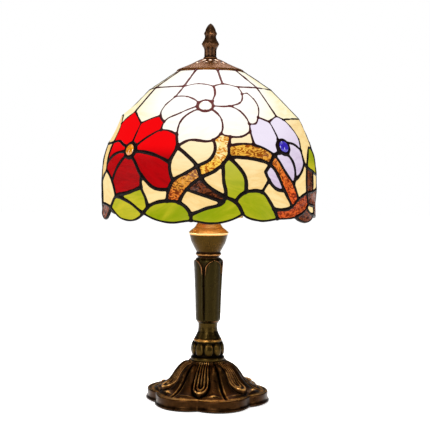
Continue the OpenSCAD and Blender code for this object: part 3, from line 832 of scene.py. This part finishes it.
def foot_mesh():
    """The cast foot: bell with palmettes, lobed plate with a lip, and its hollow inside."""
    azimuth = full_turn(600)
    edge = lobed_radius(azimuth)
    rows = [(r, z, i * BELL_STEP) for i, (r, z) in enumerate(BELL_PATH)]
    bell_rows = len(rows)
    low_r, low_z = BELL_PATH[-1]
    for q in np.arange(1, PLATE_ROWS + 1) / PLATE_ROWS:
        lip = 0.55 * bell(q, 0.9, 0.10) - 0.5 * bell(q, 0.55, 0.3)
        r = low_r + q * (edge - 2.4 - low_r)
        rows.append((r, low_z + (PLATE_Z - low_z) * q + lip, BELL_LENGTH + q * 8))
    past = BELL_LENGTH + 20
    rows += [(edge + dr, PLATE_Z + dz, past) for dr, dz in PLATE_SIDE]
    rows.append((edge - 0.4, FELT_Z, past))
    rows += [(r, z, past) for r, z in HOLLOW]
    rows = np.array([np.broadcast_arrays(*row, edge)[:3] for row in rows])
    radius, z, along = rows[:, 0], rows[:, 1], rows[:, 2]
    way = unit(np.gradient(rows[:, :2, 0], axis=0))
    rise, tone = foot_relief(azimuth, along, radius)
    number = np.arange(len(rows))[:, None]
    on_bell = number < bell_rows + 6
    rim = number - (bell_rows + PLATE_ROWS - 1)
    # The rim is gilt; the plate's side wall below it is darker: painted shade.
    tone = BASE_TONE + tone * on_bell + 0.35 * bell(rim, 0, 1.4) - 0.12 * ramp01(rim, 2, 4)
    # A lighter band over the plate's top inside the rim: a painted highlight.
    tone = tone + 0.34 * bell(rim, -7, 4)
    radius = radius - rise * on_bell * way[:, 1:]
    z = z + rise * on_bell * way[:, :1]
    return ring_skin("foot", azimuth, radius, z, np.clip(tone, 0, 1))


# ---- Cap ----
CAP_PROFILE = [(30.9, 304.8), (31, 305.9), (29.6, 307.1), (24.5, 309), (17, 312.3), (11, 315.4),
    (7.6, 316.9), (3.3, 317)]
CAP_T = 0.5
FACES_BULB = 2.0  # tone of the side that the bulb lights
VENTS = 12
VENT_RING, VENT_Z = 11.0, 314


def vent_cap_mesh():
    """A thin spun cap with two rows of diamond vents."""
    outer = resampled(rounded(CAP_PROFILE), 0.8)
    way = unit(np.gradient(outer, axis=0))
    inner = outer - CAP_T * np.stack([way[:, 1], -way[:, 0]], 1)
    inner[0] = (outer[0, 0] - CAP_T, outer[0, 1])
    inner[-1] = (outer[-1, 0], outer[-1, 1] - CAP_T)
    loop = np.concatenate([outer, inner[::-1]])
    azimuth = full_turn(144)
    radius, z = (np.repeat(loop[:, k : k + 1], len(azimuth), axis=1) for k in (0, 1))
    inward = (np.arange(len(loop)) >= len(outer))[:, None]
    rim = 0.42 + 0.12 * bell(radius, 30.5, 0.8) - 0.06 * ramp01(-radius, -13, -9)
    shell = ring_skin("vent_cap", azimuth, radius, z, np.where(inward, FACES_BULB, rim))
    cutters = Soup()
    for i in range(VENTS):
        for row in (0, 1):
            a = math.radians((i + row / 2) * 360 / VENTS)
            at = polar(a, VENT_RING + 4.6 * row, VENT_Z - 1.4 * row)
            diamond(cutters, at, a, 2.2 + 0.6 * row, 2.4)
    return sharp_rim(cut(shell, cutters), 40)


def diamond(soup, at, azimuth, wide, long):
    """An upright prism with a diamond outline."""
    across = wide * np.array([math.cos(azimuth), math.sin(azimuth), 0])
    out = long * polar(azimuth, 1, 0)
    ring = at + np.array([out, across, -out, -across])
    up = np.array([0, 0, 6])
    soup.add([ring - up, ring + up], capped_faces(2, 4))


# ---- Harp ----
BOW = [(30, 180), (30, 198), (30.5, 202), (37, 214), (45, 228), (49.5, 245), (48.5, 262),
    (41, 280), (29, 294.5), (15, 305.5), (5, 310.5), (0, 311)]
WIRE_R = 1.7
CROWN_SECTION = [(2.06, 308.5), (5.4, 308.5), (6, 309.1), (6, 312.9), (5.4, 313.5), (2.06, 313.5)]


def harp_mesh():
    """Round wire bow with a flat drilled pad at its crown."""
    bow = smooth_path([(-x, z) for x, z in BOW[:-1]] + BOW[::-1], 1.6)
    path = np.insert(bow, 1, 0, axis=1)
    along = unit(np.gradient(path, axis=0))
    normal = np.broadcast_to((0.0, 1.0, 0.0), path.shape)
    soup = Soup()
    add_tube(soup, path, np.cross(along, normal), normal, WIRE_R, WIRE_R, 16)
    section, sides = rounded(CROWN_SECTION, 1), 48
    points = polar(full_turn(sides), section[:, :1], section[:, 1:])
    soup.add(points, grid_faces(len(section), sides, wrap_rows=True))
    return sharp_rim(soup.mesh("harp"), 50)


# ---- Material helpers ----
def srgb(r, g, b):
    """A linear colour from 0 to 255 display values."""
    display = [c / 255 for c in (r, g, b)]
    linear = [c / 12.92 if c <= 0.04045 else ((c + 0.055) / 1.055) ** 2.4 for c in display]
    return (*linear, 1.0)


class Shader:
    """A Principled material with short calls for the nodes that feed it."""

    def __init__(self, name, **values):
        self.material = bpy.data.materials.new(name)
        self.material.use_nodes = True
        self.tree = self.material.node_tree
        self.surface = self.tree.nodes["Principled BSDF"]
        for key, value in values.items():
            self.surface.inputs[key.replace("_", " ")].default_value = value

    def add(self, kind, inputs=(), **settings):
        node = self.tree.nodes.new("ShaderNode" + kind)
        for key, value in settings.items():
            setattr(node, key, value)
        for key, value in dict(inputs).items():
            if isinstance(value, bpy.types.NodeSocket):
                self.tree.links.new(value, node.inputs[key])
            else:
                node.inputs[key].default_value = value
        return node

    def mm(self, stretch=(1, 1, 1)):
        """Object coordinates in millimetres, stretched."""
        at = self.add("TexCoord").outputs["Object"]
        scale = tuple(1000 * s for s in stretch)
        return self.add("Mapping", {"Vector": at, "Scale": scale}).outputs[0]

    def attribute(self, name, kind="Fac"):
        return self.add("Attribute", attribute_name=name).outputs[kind]

    def noise(self, vector, scale, detail=3.0, rough=0.55, distortion=0.0):
        inputs = {"Vector": vector, "Scale": scale, "Detail": detail, "Roughness": rough,
            "Distortion": distortion}
        return self.add("TexNoise", inputs).outputs["Fac"]

    def total(self, *terms, less=0.0):
        """The sum of terms given as (value, share), less a constant."""
        value = -less
        for part, share in terms:
            inputs = {0: part, 1: share, 2: value}
            value = self.add("Math", inputs, operation="MULTIPLY_ADD").outputs[0]
        return value

    def span(self, value, low, high, to_low=0.0, to_high=1.0):
        """The value's place between low and high."""
        inputs = {0: value, 1: low, 2: high, 3: to_low, 4: to_high}
        return self.add("MapRange", inputs, interpolation_type="SMOOTHSTEP").outputs[0]

    def ramp(self, value, *stops):
        """Colour stops as (place, display colour)."""
        node = self.add("ValToRGB", {"Fac": value})
        elements = node.color_ramp.elements
        while len(elements) < len(stops):
            elements.new(0.5)
        for element, (place, colour) in zip(elements, stops):
            element.position, element.color = place, srgb(*colour)
        return node.outputs["Color"]

    def mix(self, share, a, b, blend="MIX"):
        inputs = {"Factor": share, 6: a, 7: b}
        return self.add("Mix", inputs, data_type="RGBA", blend_type=blend).outputs[2]

    def dimmed(self, colour, share):
        """A share of a colour, for glass whose light comes through it."""
        return self.mix(1.0, colour, (share, share, share, 1), "MULTIPLY")

    def bump(self, height, strength, distance):
        inputs = {"Height": height, "Strength": strength, "Distance": distance * MM}
        self.feed("Normal", self.add("Bump", inputs).outputs[0])

    def feed(self, key, socket):
        self.tree.links.new(socket, self.surface.inputs[key])

    def glow_distance(self):
        """Distance in millimetres from the brightest glass."""
        folded = self.add("VectorMath", {0: self.mm()}, operation="ABSOLUTE").outputs[0]
        return self.add("VectorMath", {0: folded, 1: HOT_SPOT}, operation="DISTANCE").outputs["Value"]


# ---- Metals ----
def bronze(name, recess, body, edge, metallic=1.0, rough=(0.26, 0.44), lit_inside=False):
    """Antique bronze: dark in the hollows, rubbed to gilt on what stands out. A tone over 1
    marks the side that faces the bulb; with lit_inside that side glows with painted light
    of the bulb."""
    s = Shader(name, Metallic=metallic, Specular_IOR_Level=0.25)
    tone = s.attribute("tone")
    if lit_inside:
        # Painted glow of the bulb's light on the side that faces it.
        s.surface.inputs["Emission Strength"].default_value = 3.0
        s.feed("Emission Color", s.ramp(s.span(tone, 1.2, 1.8), (0, (0, 0, 0)), (1, (255, 236, 214))))
    grime = s.noise(s.mm(), 0.22, 5, 0.6)
    fine = s.noise(s.mm(), 1.7, 3)
    lift = s.total((tone, 1.0), (grime, 0.42), (fine, 0.22), less=0.32)
    s.feed("Base Color", s.ramp(lift, (0.12, recess), (0.40, body), (0.55, body), (0.86, edge)))
    s.feed("Roughness", s.span(grime, 0.3, 0.7, *rough))
    s.bump(s.total((fine, 1.0), (grime, 0.8)), 0.35, 0.12)
    return s.material


def plain_metal(name, colour, dark, rough, grain=(1, 1, 1)):
    """Drawn or plated metal with a directional grain."""
    s = Shader(name, Metallic=0.95)
    streak = s.noise(s.mm(grain), 1.4, 4)
    stain = s.noise(s.mm(), 0.12, 3)
    s.feed("Base Color", s.ramp(stain, (0.3, dark), (0.62, colour)))
    s.feed("Roughness", s.span(streak, 0.3, 0.7, rough - 0.08, rough + 0.12))
    s.bump(streak, 0.2, 0.05)
    return s.material


def iron():
    s = Shader("iron", Metallic=0.7, Roughness=0.75)
    s.feed("Base Color", s.ramp(s.noise(s.mm(), 0.3, 6), (0.3, (52, 48, 46)), (0.7, (96, 92, 90))))
    s.bump(s.noise(s.mm(), 1.1, 5), 0.7, 0.4)
    return s.material


def solder():
    """Patinated bead, with a painted warm glow where it stands against the bulb."""
    s = Shader("solder", Metallic=0.05, Emission_Strength=1.0, Specular_IOR_Level=0.05)
    patch = s.noise(s.mm(), 0.35, 4)
    s.feed("Base Color", s.ramp(patch, (0.3, (6, 4, 4)), (0.7, (22, 14, 13))))
    s.feed("Roughness", s.span(patch, 0.3, 0.7, 0.28, 0.5))
    # Painted glow, strongest next to the brightest glass.
    away = s.span(s.glow_distance(), 10, 92)
    s.feed("Emission Color", s.ramp(away,
        (0, (120, 62, 60)), (0.4, (78, 32, 32)), (0.75, (20, 9, 9)), (1, (3, 2, 2))))
    s.bump(s.noise(s.mm(), 1.2, 3), 0.3, 0.2)
    return s.material


# ---- Glass ----
def glow_glass(name, near, far, deep, away, stretch=(0.035, 0.16, 1), contrast=(0.35, 0.7),
        body=0.1, rough=0.35, pane_share=0.14):
    """Opalescent glass lit from inside: near and far are its colour close to and away from
    the bulb, deep is the colour of its streaks there. away(shader) runs from 0 to 1."""
    s = Shader(name, Roughness=rough, Emission_Strength=1.0, Specular_IOR_Level=0.04)
    grain = s.add("Mapping", {"Vector": s.attribute("grain", "Vector"), "Scale": stretch}).outputs[0]
    cloud = s.noise(grain, 1.0, 4, 0.6, 0.8)
    fine = s.noise(grain, 4.0, 3, 0.6, 0.3)
    streak = s.total((cloud, 0.8), (fine, 0.2), (s.attribute("tone"), pane_share), less=pane_share / 2)
    sheet = s.mix(s.span(streak, *contrast), srgb(*far), srgb(*deep))
    s.feed("Emission Color", s.mix(away(s), srgb(*near), sheet))
    s.feed("Base Color", s.dimmed(sheet, body))
    s.bump(fine, 0.15, 0.15)
    return s.material


def from_hot_spot(low, high):
    """Glass changes with its distance from the brightest glass."""
    return lambda s: s.span(s.glow_distance(), low, high)


def down_from(high, low):
    """Glass changes with its height: it glows less lower down, a painted falloff of the bulb's light.
    """
    return lambda s: s.span(s.add("SeparateXYZ", {0: s.mm()}).outputs["Z"], low, high, 1.0, 0.0)


def amber_glass():
    """Hammered amber: almost white at the bulb, through orange and red to dark bark."""
    s = Shader("glass_brown", Roughness=0.2, Emission_Strength=1.0, Specular_IOR_Level=0.06)
    mottle = s.noise(s.mm(), 0.07, 4, 0.6, 0.6)
    hammer = s.noise(s.mm((1, 1, 1.6)), 0.19, 2.0, 0.6, 1.8)
    away = s.span(s.glow_distance(), 42, 110)
    place = s.total((away, 0.42), (s.attribute("tone"), 0.62), (mottle, 0.35), less=0.175)
    places = (0, 0.1, 0.42, 0.62, 0.8, 1)
    bright = s.ramp(place, *zip(places, (
        (255, 244, 190), (255, 208, 82), (222, 146, 50), (234, 98, 40), (138, 64, 30), (106, 54, 26))))
    dark = s.ramp(place, *zip(places, (
        (232, 158, 40), (188, 98, 14), (104, 50, 14), (138, 40, 14), (62, 24, 9), (40, 17, 8))))
    colour = s.mix(s.span(hammer, 0.44, 0.56), bright, dark)
    s.feed("Emission Color", colour)
    s.feed("Base Color", s.dimmed(colour, 0.06))
    s.bump(hammer, 0.3, 0.4)
    return s.material


def jewel_glass(name, core, rim):
    """Pressed cabochon with swirls of two tints."""
    s = Shader(name, Roughness=0.06, Emission_Strength=1.0, Coat_Weight=0.6, Coat_Roughness=0.04)
    colour = s.ramp(s.noise(s.mm(), 0.28, 4, 0.6, 1.2), (0.32, rim), (0.68, core))
    # The tints glow: painted light of the bulb shining through the jewel.
    s.feed("Emission Color", colour)
    s.feed("Base Color", s.dimmed(colour, 0.2))
    return s.material


def bulb_glass():
    """Frosted bulb, alight."""
    s = Shader("bulb_glass", Roughness=0.4, Emission_Strength=6.0, Base_Color=(1, 0.97, 0.9, 1))
    haze = s.noise(s.mm(), 0.08, 3)
    s.feed("Emission Color", s.ramp(haze, (0.2, (255, 231, 196)), (0.8, (255, 243, 221))))
    return s.material


# ---- Other materials ----
def speckled(name, dark, light, rough, scale, bump_mm, **values):
    """A dull body with a fine grain."""
    s = Shader(name, Roughness=rough, **values)
    s.feed("Base Color", s.ramp(s.noise(s.mm(), scale, 5, 0.65), (0.3, dark), (0.7, light)))
    s.bump(s.noise(s.mm(), scale * 2.2, 4), 0.4, bump_mm)
    return s.material


# ---- Build ----
def carry(material, *names):
    """A CAD node that stays keeps its mesh and gets a finished material."""
    for name in names:
        for holder in nodes[name].material_slots:
            holder.material = material


OLD_BRONZE = bronze("bronze_foot", (14, 8, 3), (64, 40, 19), (255, 190, 108))
STEM_BRONZE = bronze("bronze_stem", (14, 9, 4), (60, 46, 18), (240, 170, 84))
COLUMN_BRONZE = bronze("bronze_column", (22, 11, 6), (43, 35, 14), (176, 116, 70))
CUP_BRONZE = bronze("bronze_cup", (32, 18, 9), (66, 48, 18), (152, 104, 58))
# The neck flare's bronze, far brighter and warmer than the other bronzes: painted light of the bulb
# falling on it.
BULB_LIT_BRONZE = bronze("bronze_light", (116, 66, 30), (216, 156, 86), (255, 220, 150))
CAP_BRONZE = bronze("bronze_cap", (78, 41, 12), (116, 69, 24), (154, 94, 36), 1.0, (0.5, 0.65), True)
FINIAL_BRONZE = bronze("bronze_finial", (46, 28, 15), (84, 54, 30), (180, 120, 72), 0.7)
BRASS = plain_metal("brass", (206, 164, 92), (158, 118, 58), 0.3)
STEEL = plain_metal("steel", (196, 196, 194), (150, 150, 150), 0.34, (0.3, 0.3, 4))

PANES = (  # piece, CAD node, glass, its colours near, far and deep, how it changes, settings
    ("panes_top_rows", TOP_ROWS, "glass_cream", (255, 255, 252), (252, 244, 208),
        (248, 232, 180), from_hot_spot(38, 72), {}),
    ("panes_field", "glass_field", "glass_amber_cream", (255, 238, 200), (244, 218, 156),
        (234, 194, 122), from_hot_spot(40, 92), {}),
    ("petals_white", "glass_white_petals", "glass_white", (255, 255, 253), (255, 247, 232),
        (253, 236, 208), from_hot_spot(26, 70), {}),
    ("petals_red", "glass_red_petals", "glass_red", (246, 4, 10), (182, 0, 6),
        (152, 0, 4), down_from(238, 222), {"body": 0.03, "rough": 0.45}),
    ("petals_lavender", "glass_lavender_petals", "glass_lavender", (232, 224, 240),
        (214, 198, 220), (192, 172, 200), from_hot_spot(60, 100), {}),
    ("leaves", "glass_leaves", "glass_green", (208, 198, 84), (196, 184, 38),
        (136, 152, 4), from_hot_spot(50, 100),
        {"stretch": (0.02, 0.07, 1), "contrast": (0.25, 0.75), "pane_share": 0.32}),
)
CABOCHONS = (
    ("amber", (240, 160, 24), (150, 76, 8)),
    ("blue", (62, 44, 196), (24, 14, 110)),
    ("white", (255, 255, 250), (250, 240, 220)),
)


def build_shade():
    piece("solder_seams", seam_mesh(), solder(), "shade", "solder", "shade_seams")
    for name, node, slot, near, far, deep, away, settings in PANES:
        glass_piece(name, node, slot, glow_glass(slot, near, far, deep, away, **settings))
    glass_piece("branches", "glass_branches", "glass_brown", amber_glass(), 1.25, hammered, wood_age)
    for tint, core, rim in CABOCHONS:
        node, slot = "jewels_" + tint, "jewel_" + tint
        material = jewel_glass(slot, core, rim)
        piece("cabochons_" + tint, jewel_mesh(node), material, "shade", slot, node)
    piece("vent_cap_skin", vent_cap_mesh(), CAP_BRONZE, "shade", "bronze", "vent_cap")
    carry(STEEL, "shade_ring", "swivel_stud")


def build_finial():
    profile = [(r, z + FINIAL_LOW) for r, z in FINIAL_PROFILE]
    mesh = turned_mesh("finial_skin", profile, 0.05, flute_relief, 160, 0.35)
    piece("finial_skin", mesh, FINIAL_BRONZE, "finial", "bronze", "finial")


STEM_BORE = 5.0
INLET_R, INLET_REACH = 4.25, 20


def build_stem():
    plain = (0, 1, 180)
    parts = (
        ("lower_stem", gadroon_relief, STEM_BRONZE, "bronze", (PAD_TURN, PADS, 12)),
        ("column", leaf_relief, COLUMN_BRONZE, "bronze", (LEAF_TURN, LEAVES, 20)),
        ("capital_cup", None, CUP_BRONZE, "bronze", plain),
        ("neck_flare", None, BULB_LIT_BRONZE, "bronze_light", plain),
    )
    for node, relief, material, slot, window in parts:
        mesh = turned_mesh(node + "_skin", cad_profile(node, *window), STEM_BORE, relief)
        piece(node + "_skin", mesh, material, "root", slot, node)
    hole = Soup()
    low, high = np.array(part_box("cord_bushing")) / MM
    centre = (low + high) / 2 * (0, 1, 1)
    profile = np.array([(INLET_R, -INLET_REACH), (INLET_R, INLET_REACH)])
    add_turned(hole, profile, 48, centre, np.array((0, 1, 0)))
    foot = sharp_rim(cut(foot_mesh(), hole))
    piece("foot_skin", foot, OLD_BRONZE, "root", "bronze", "base_casting")


def build_inside():
    piece("harp_wire", harp_mesh(), BRASS, "root", "brass", "harp_bow")
    carry(BRASS, "harp_saddle", "harp_ferrule_left", "harp_ferrule_right", "socket_cap",
        "socket_shell", "screw_shell", "centre_contact", "terminal_screws", "switch_shaft",
        "neck_nut", "base_nut")
    carry(STEEL, "threaded_tube", "base_washer", "bulb_cap", "bulb_tip")
    carry(bulb_glass(), "bulb_globe", "bulb_mount")
    carry(iron(), "base_weight")
    carry(speckled("black_plastic", (18, 16, 14), (34, 30, 27), 0.45, 1.6, 0.05),
        "switch_knob", "cord_bushing")
    carry(speckled("felt", (24, 30, 24), (46, 56, 44), 0.95, 1.2, 0.3, Sheen_Weight=0.4), "felt_pad")
    carry(speckled("wire_jacket", (170, 160, 130), (205, 196, 168), 0.4, 0.4, 0.03), "lead_wires")
    carry(speckled("card", (48, 38, 28), (82, 68, 50), 0.8, 0.9, 0.1), "socket_sleeve")
    carry(speckled("porcelain", (226, 222, 210), (244, 242, 234), 0.12, 0.25, 0.02, Coat_Weight=0.5),
        "socket_core")
    carry(speckled("black_glass", (8, 8, 10), (22, 22, 26), 0.08, 0.3, 0.02), "bulb_insulator")


# ---- Studio ----
LIT_AT = (0, 0, 0.17)  # metres, as are the lights' places and sizes
AREA_LIGHTS = (  # name, place, size, watts
    ("key", (-0.3, -1.0, 0.5), (0.16, 0.7), 7),
    ("fill", (0.95, -0.5, 0.25), (0.12, 0.7), 3),
    ("side", (-1.0, -0.1, 0.25), (0.12, 0.7), 2),
    ("back", (0, 0.6, 1.1), (0.5, 0.5), 6),
)


def build_lights():
    for name, place, size, watts in AREA_LIGHTS:
        data = bpy.data.lights.new(name, "AREA")
        data.shape = "RECTANGLE"
        data.size, data.size_y = size
        data.energy = watts
        obj = linked(name, data)
        obj.location = place
        obj.rotation_euler = (Vector(LIT_AT) - Vector(place)).to_track_quat("-Z", "Y").to_euler()
    sky = bpy.data.lights.new("sky", "SUN")
    sky.energy, sky.angle = 0.8, math.radians(60)
    linked("sky", sky)
    bulb = bpy.data.lights.new("bulb_light", "POINT")
    bulb.energy, bulb.color, bulb.shadow_soft_size = 1.6, (1.0, 0.76, 0.48), 0.028
    linked("bulb_light", bulb).location = tuple(c * MM for c in BULB)
    nodes["bulb_globe"].visible_shadow = False
    nodes["bulb_mount"].visible_shadow = False


def build_world():
    """White behind the lamp, and a dimmer grey for what the metal reflects."""
    world = bpy.data.worlds.new("studio")
    world.use_nodes = True
    tree = world.node_tree
    background = tree.nodes["Background"]
    path = tree.nodes.new("ShaderNodeLightPath")
    level = tree.nodes.new("ShaderNodeMapRange")
    level.inputs["To Min"].default_value = 0.06
    level.inputs["To Max"].default_value = 1.0
    tree.links.new(path.outputs["Is Camera Ray"], level.inputs["Value"])
    tree.links.new(level.outputs[0], background.inputs["Strength"])
    background.inputs["Color"].default_value = (1, 1, 1, 1)
    bpy.context.scene.world = world


def build_floor():
    half = 3.0 / MM
    corners = [(-half, -half, 0), (half, -half, 0), (half, half, 0), (-half, half, 0)]
    mesh = make_mesh("floor", corners, [(0, 1, 2, 3)])
    s = Shader("floor", Roughness=0.9, Specular_IOR_Level=0.1, Emission_Strength=0.75,
        Emission_Color=(1, 1, 1, 1))
    cloud = s.noise(s.mm(), 0.02, 2)
    s.feed("Base Color", s.ramp(cloud, (0.3, (247, 247, 247)), (0.7, (250.5, 250.5, 250.5))))
    mesh.materials.append(s.material)
    linked("floor", mesh)

CAMERA_AT = (0, -0.95, 0.229)  # metres
CAMERA_PITCH, CAMERA_YAW, CAMERA_ROLL = 3.36, -0.31, -0.55  # degrees


def build_camera():
    """Just above the shade's lower edge, looking a little down."""
    camera = bpy.data.cameras.new("camera")
    camera.lens = 85.87
    obj = linked("camera", camera)
    obj.location = CAMERA_AT
    pitch, yaw, roll = np.radians([CAMERA_PITCH, CAMERA_YAW, CAMERA_ROLL])
    obj.rotation_euler = (math.pi / 2 - pitch, roll, yaw)
    bpy.context.scene.camera = obj
    bpy.context.scene.view_settings.view_transform = "Standard"


pattern = Pattern()
build_shade()
build_finial()
build_stem()
build_inside()
build_world()
build_lights()
build_floor()
build_camera()
